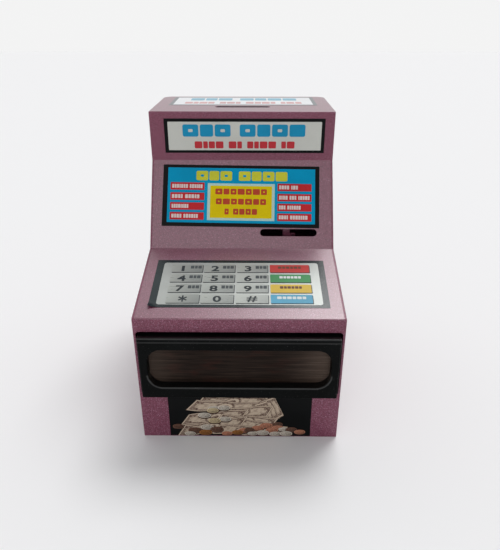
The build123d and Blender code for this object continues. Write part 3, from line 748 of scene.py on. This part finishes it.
key_top = ink + key_rise
numbers, small_blocks, dark_marks, white_marks = range(4)
key_marks = bmesh.new()
for row, characters in enumerate(("123", "456", "789", "*0#")):
    for column, character in enumerate(characters):
        x = columns[column][0]
        left = numeral_shift if row < 3 else 0
        if character != "*":
            numeral(key_marks, keypad, character, (x - left, rows[row] - 0.3), key_top, ink)
            continue
        for arm in range(3):
            turned = Matrix.Rotation(math.radians(30 + 60 * arm), 4, "Z")
            star = keypad @ Matrix.Translation((x * millimetre, rows[row] * millimetre, 0)) @ turned
            slab(key_marks, star, (0, 0), star_arm, key_top + arm * ink / 10, ink, numbers)
bmesh.ops.remove_doubles(key_marks, verts=key_marks.verts, dist=1e-7)
for y in rows[:3]:
    for x, width in columns:
        place = (x + 8.4, y + 1.8)
        block_row(key_marks, keypad, place, (10.4, 4.2), "545", key_top, ink, small_blocks, gap=0.2)
colour_marks = ((22, dark_marks), (20, white_marks), (20, dark_marks), (26, white_marks))
for y, (length, tone) in zip(rows, colour_marks):
    place = (colour_column[0], y + 1.6)
    block_row(key_marks, keypad, place, (length, 3.4), "545454", key_top, ink, tone, gap=0.2)
piece(
    "keypad_marks", key_marks,
    [number_ink, soft_grey_ink, dark_mark_ink, key_white],
    "cabinet",
)

# ---------------------------------------------------------------- top label
# The label on the flat top lies behind the coin slot: a white field with a grey border, a blue title row and
# a red row. Its film is replaced by one that leaves room for the ink in the same thickness.
top_low, top_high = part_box("top_label")
top_width, top_length = (top_high.x - top_low.x) / millimetre, (top_high.y - top_low.y) / millimetre
top = label_face("top_label", 0.0)
layer = film / 4              # each of its two layers of ink
border, white, pale_blue, pale_red = range(4)
grey_border = printed_film("grey_border", (0.22, 0.24, 0.25))
white_ink = printed_film("white_ink", (0.82, 0.84, 0.86), fade=0.05)
top_blue = printed_film("top_blue", (0.20, 0.48, 0.62))
top_red = printed_film("top_red", (0.66, 0.36, 0.36))
top_film = bmesh.new()
slab(top_film, top, (0, 0), (top_width, top_length), -film, film - 2 * layer, border)
slab(top_film, top, (0, 0.4), (top_width - 8, top_length - 7.5), -2 * layer, layer, white)
block_row(top_film, top, (0, 12.5), (118, 17), "656 6566", -layer, layer, pale_blue)
block_row(top_film, top, (0, -13.5), (126, 12), "5354 453 5453 354", -layer, layer, pale_red)
top_print = piece(
    "top_label_film", top_film,
    [grey_border, white_ink, top_blue, top_red],
    "cabinet",
)
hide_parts("top_label")

# ---------------------------------------------------------------- money picture
# The label under the drawer is a printed picture of fanned banknotes and scattered coins on black. The notes
# carry only frames, an oval and fine lines, and the coins are plain with a rim.
wear(black_film, "money_label")
picture = label_face("money_label", math.pi / 2)
picture_margin = 0.3 * millimetre
wave_height = 0.5 * millimetre
wave_rate = 0.22              # radians of a note's wave for each millimetre
notes = (
    # middle x, middle y, length, height, turn in degrees, lean
    (31.5, 9.0, 12.0, 25.0, 28, 0.10),
    (-8.0, 16.5, 62.0, 13.0, 1, 0.75),
    (27.5, 7.0, 12.0, 26.0, 27, 0.10),
    (-14.0, 11.0, 64.0, 13.0, -3, 0.80),
    (23.5, 5.0, 12.0, 25.0, 26, 0.10),
    (2.0, 4.0, 54.0, 13.0, 5, 0.60),
    (-24.0, -1.5, 58.0, 13.0, 7, 0.85),
    (6.0, -6.0, 54.0, 13.0, -5, 0.50),
    (20.0, -13.0, 46.0, 13.0, -14, 0.30),
    (-27.0, -13.5, 62.0, 14.0, 11, 0.90),
    (2.0, -17.0, 50.0, 12.0, -3, 0.60),
)


def banknote_ink():
    """Cream paper with an engraved frame, an oval and fine waved lines, drawn on the note's own UV map."""
    paper, shader, flow = finish_named("banknote_ink", Specular_IOR_Level=0.2)
    own = flow.add("UVMap", {"uv_map": "UVMap"}, {})
    x, y = [abs(part - 0.5) for part in parts(flow, own)[:2]]         # each 0 at the middle, 0.5 at an edge
    inside = (x < 0.475) * (y < 0.42)                                 # within the plain paper margin
    outline = flow.math("MAXIMUM", x > 0.492, y > 0.468)              # a thin dark line round the note
    border = flow.math("MAXIMUM", x > 0.425, y > 0.31)
    corner = (x > 0.35) * (y > 0.17)
    from_middle = flow.math("SQRT", x * x * 42.0 + y * y * 6.5)       # 1 on an ellipse round the middle
    oval = (abs(from_middle - 0.80) < 0.12) + (from_middle < 0.40)
    clear_ring = abs(from_middle - 0.56) < 0.14
    fine = flow.add("VectorMath", {"operation": "MULTIPLY"}, {0: own, 1: (60, 22, 1)})
    lace = noise(flow, fine, 1.0, 2.0).between(0.40, 0.60)
    broad = flow.add("VectorMath", {"operation": "MULTIPLY"}, {0: own, 1: (16, 7, 1)})
    scrolls = noise(flow, broad, 1.0, 3.0).between(0.48, 0.60)
    dense = flow.math("MAXIMUM", border, flow.math("MAXIMUM", corner, oval))
    tone = 0.08 + dense * (0.30 + lace * 0.45) + scrolls * 0.30 + lace * 0.10
    engraved = flow.math("MAXIMUM", inside * (1 - clear_ring * 0.8) * tone, outline * 0.85)
    feed(
        flow,
        shader,
        Base_Color=engraved.mix((0.56, 0.455, 0.345, 1), (0.075, 0.032, 0.024, 1)),
        Roughness=0.28 + lace * 0.12,
    )
    return paper


def crop_to_picture(mesh):
    """Cuts off what lies beyond the label's edges, less a narrow margin."""
    low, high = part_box("money_label")
    half_width, half_height = (high.x - low.x) / 2, (high.z - low.z) / 2
    for way, reach in ((Vector((1, 0, 0)), half_width), (Vector((0, 1, 0)), half_height)):
        for side in (way, -way):
            bmesh.ops.bisect_plane(
                mesh, geom=mesh.verts[:] + mesh.edges[:] + mesh.faces[:],
                plane_co=side * (reach - picture_margin), plane_no=side, clear_outer=True,
            )


money = bmesh.new()
money.loops.layers.uv.new("UVMap")
for order, (x, y, length, height, turn, lean) in enumerate(notes):
    note = bmesh.new()
    note.loops.layers.uv.new("UVMap")
    bmesh.ops.create_grid(note, x_segments=16, y_segments=2, size=0.5 * millimetre, calc_uvs=True)
    bmesh.ops.scale(note, vec=(length, height, 1), verts=note.verts)
    for vert in note.verts:
        vert.co.y += wave_height * math.sin(vert.co.x / millimetre * wave_rate + order)
    skew = Matrix.Identity(4)
    skew[0][1] = lean
    seat = Matrix.Translation((x * millimetre, y * millimetre, ink * 0.5 * (order + 1)))
    add_part(money, note, seat @ Matrix.Rotation(math.radians(turn), 4, "Z") @ skew)
crop_to_picture(money)
bmesh.ops.transform(money, matrix=picture, verts=money.verts)
money_notes = piece("money_picture_notes", money, [banknote_ink()], "cabinet")
thickness = money_notes.modifiers.new("paper", "SOLIDIFY")
thickness.thickness = ink * 0.4
thickness.offset = 1.0

silver, copper, brown, gold, brass, shadow = range(6)
coin_places = (
    # middle x, middle y, radius, tone, from the back of the pile to the front
    (-24.0, 9.0, 5.2, silver), (-15.0, 10.0, 5.0, silver), (-25.5, 6.8, 4.8, gold),
    (-33.5, 1.0, 5.4, silver), (-14.0, -3.5, 5.0, silver), (-24.0, -5.5, 5.2, gold),
    (-59.0, -12.5, 4.6, brown), (35.5, -9.5, 4.4, brown), (25.0, -11.0, 5.2, copper),
    (-31.5, -13.5, 5.6, silver), (35.8, -13.8, 5.0, copper), (17.0, -14.2, 5.0, copper),
    (41.5, -15.5, 4.2, silver), (49.0, -15.8, 4.8, brown), (30.5, -16.6, 5.2, copper),
    (-43.0, -17.0, 5.6, brown), (-22.0, -15.8, 5.4, brown), (4.0, -17.0, 4.8, copper),
    (9.0, -16.2, 4.2, brown), (57.0, -18.6, 4.6, copper), (-33.0, -19.8, 5.4, brass),
    (-2.5, -19.5, 4.6, brass), (21.5, -20.0, 5.4, silver), (33.5, -21.3, 4.8, silver),
    (12.0, -21.0, 4.2, silver), (44.0, -20.8, 5.2, silver), (-48.0, -21.5, 4.6, silver),
    (-12.5, -21.0, 4.4, copper),
)


def coin_ink(name, colour, worn=0.55):
    """A coin seen at a slant, on its own UV map: a bright rim, a dark line inside it and a worn relief."""
    coin_print, shader, flow = finish_named(name, Specular_IOR_Level=0.15)
    own = flow.add("UVMap", {"uv_map": "UVMap"}, {})
    right, up = [part - 0.5 for part in parts(flow, own)[:2]]
    from_middle = flow.math("SQRT", right * right + up * up) * 2.0    # 1 at the coin's edge
    relief = noise(flow, place_on(flow), 700, 2.0)
    groove = (abs(from_middle - 0.76) < 0.06) * 0.5
    lit = 0.72 + (up - right) * 0.35 + (from_middle > 0.82) * 0.25 - groove
    lit = lit - (from_middle < 0.7) * relief.between(0.35, 0.65) * 0.45 - (from_middle > 0.95) * 0.8
    dark = (*[c * (1 - worn) * 0.35 for c in colour], 1)
    feed(
        flow,
        shader,
        Base_Color=lit.between(0.0, 1.0).mix(dark, (*colour, 1)),
        Roughness=0.25 + relief * 0.15,
    )
    return coin_print


coin_inks = [
    coin_ink("coin_silver", (0.66, 0.59, 0.50)),
    coin_ink("coin_copper", (0.56, 0.235, 0.145)),
    coin_ink("coin_brown", (0.160, 0.080, 0.055)),
    coin_ink("coin_gold", (0.62, 0.50, 0.30)),
    coin_ink("coin_brass", (0.36, 0.145, 0.040)),
    printed_film("coin_shadow", (0.010, 0.007, 0.006)),
]
coin_rim = 1.18               # the listed radii leave out the rim
coin_squat = 0.50             # a coin is seen at a slant
coins = bmesh.new()
coins.loops.layers.uv.new("UVMap")
for order, (x, y, size, tone) in enumerate(coin_places):
    for step, (drop, ink_index) in enumerate(((1.3, shadow), (0.7, brown), (0, tone))):
        coin = bmesh.new()
        coin.loops.layers.uv.new("UVMap")
        bmesh.ops.create_circle(
            coin, cap_ends=True, segments=28, radius=size * coin_rim * millimetre, calc_uvs=True
        )
        for face in coin.faces:
            face.material_index = ink_index
        height = ink * (6 + order * 0.15 + step * 0.04)
        seat = Matrix.Translation((x * millimetre, (y - drop) * millimetre, height))
        add_part(coins, coin, seat @ Matrix.Diagonal((1, coin_squat, 1, 1)))
crop_to_picture(coins)
bmesh.ops.transform(coins, matrix=picture, verts=coins.verts)
piece("money_picture_coins", coins, coin_inks, "cabinet")

# ---------------------------------------------------------------- floor, light and camera
# The bank stands on a plain pale floor under a wide soft light from above and behind, with a weaker one in
# front. It is seen from in front and from a little above its top, looking down.
floor_mesh = bmesh.new()
bmesh.ops.create_grid(floor_mesh, x_segments=1, y_segments=1, size=6)
floor_finish = finish_named("pale_floor", Roughness=0.9, Base_Color=(0.88, 0.88, 0.885, 1))[0]
floor_data = bpy.data.meshes.new("floor")
floor_mesh.to_mesh(floor_data)
floor_mesh.free()
floor_data.materials.append(floor_finish)
floor = bpy.data.objects.new("floor", floor_data)
bpy.context.scene.collection.objects.link(floor)

for name, towards, power, spread in (
    ("soft_back", (0.20, 0.42, 0.885), 1.4, 26),
    ("soft_front", (-0.10, -0.76, 0.64), 0.5, 40),
):
    lamp = bpy.data.lights.new(name, "SUN")
    lamp.energy = power
    lamp.angle = math.radians(spread)
    holder = bpy.data.objects.new(name, lamp)
    holder.rotation_euler = Vector(towards).to_track_quat("Z", "Y").to_euler()
    bpy.context.scene.collection.objects.link(holder)

world = bpy.data.worlds.new("studio")
world.use_nodes = True
backdrop = world.node_tree.nodes["Background"]
sky = Shade(world.node_tree)
sideways, backwards, upwards = parts(sky, sky.add("TexCoord", {}, {}, out=0))
brightness = sky.math("MAXIMUM", backwards.between(0.0, 0.6), abs(upwards).between(0.36, 0.20))
feed(sky, backdrop, Color=brightness.mix((0.28, 0.28, 0.29, 1), (0.9, 0.9, 0.9, 1)))
bpy.context.scene.world = world
bpy.context.scene.view_settings.view_transform = "Standard"

camera_data = bpy.data.cameras.new("camera")
camera_data.lens = 34.34
camera_data.sensor_width = 36.0
camera = bpy.data.objects.new("camera", camera_data)
camera.location = (0.0134, -0.5107, 0.3636)
looking = Vector((-0.0092, 0.8969, -0.4421))
camera.rotation_euler = looking.to_track_quat("-Z", "Y").to_euler()
bpy.context.scene.collection.objects.link(camera)
bpy.context.scene.camera = camera
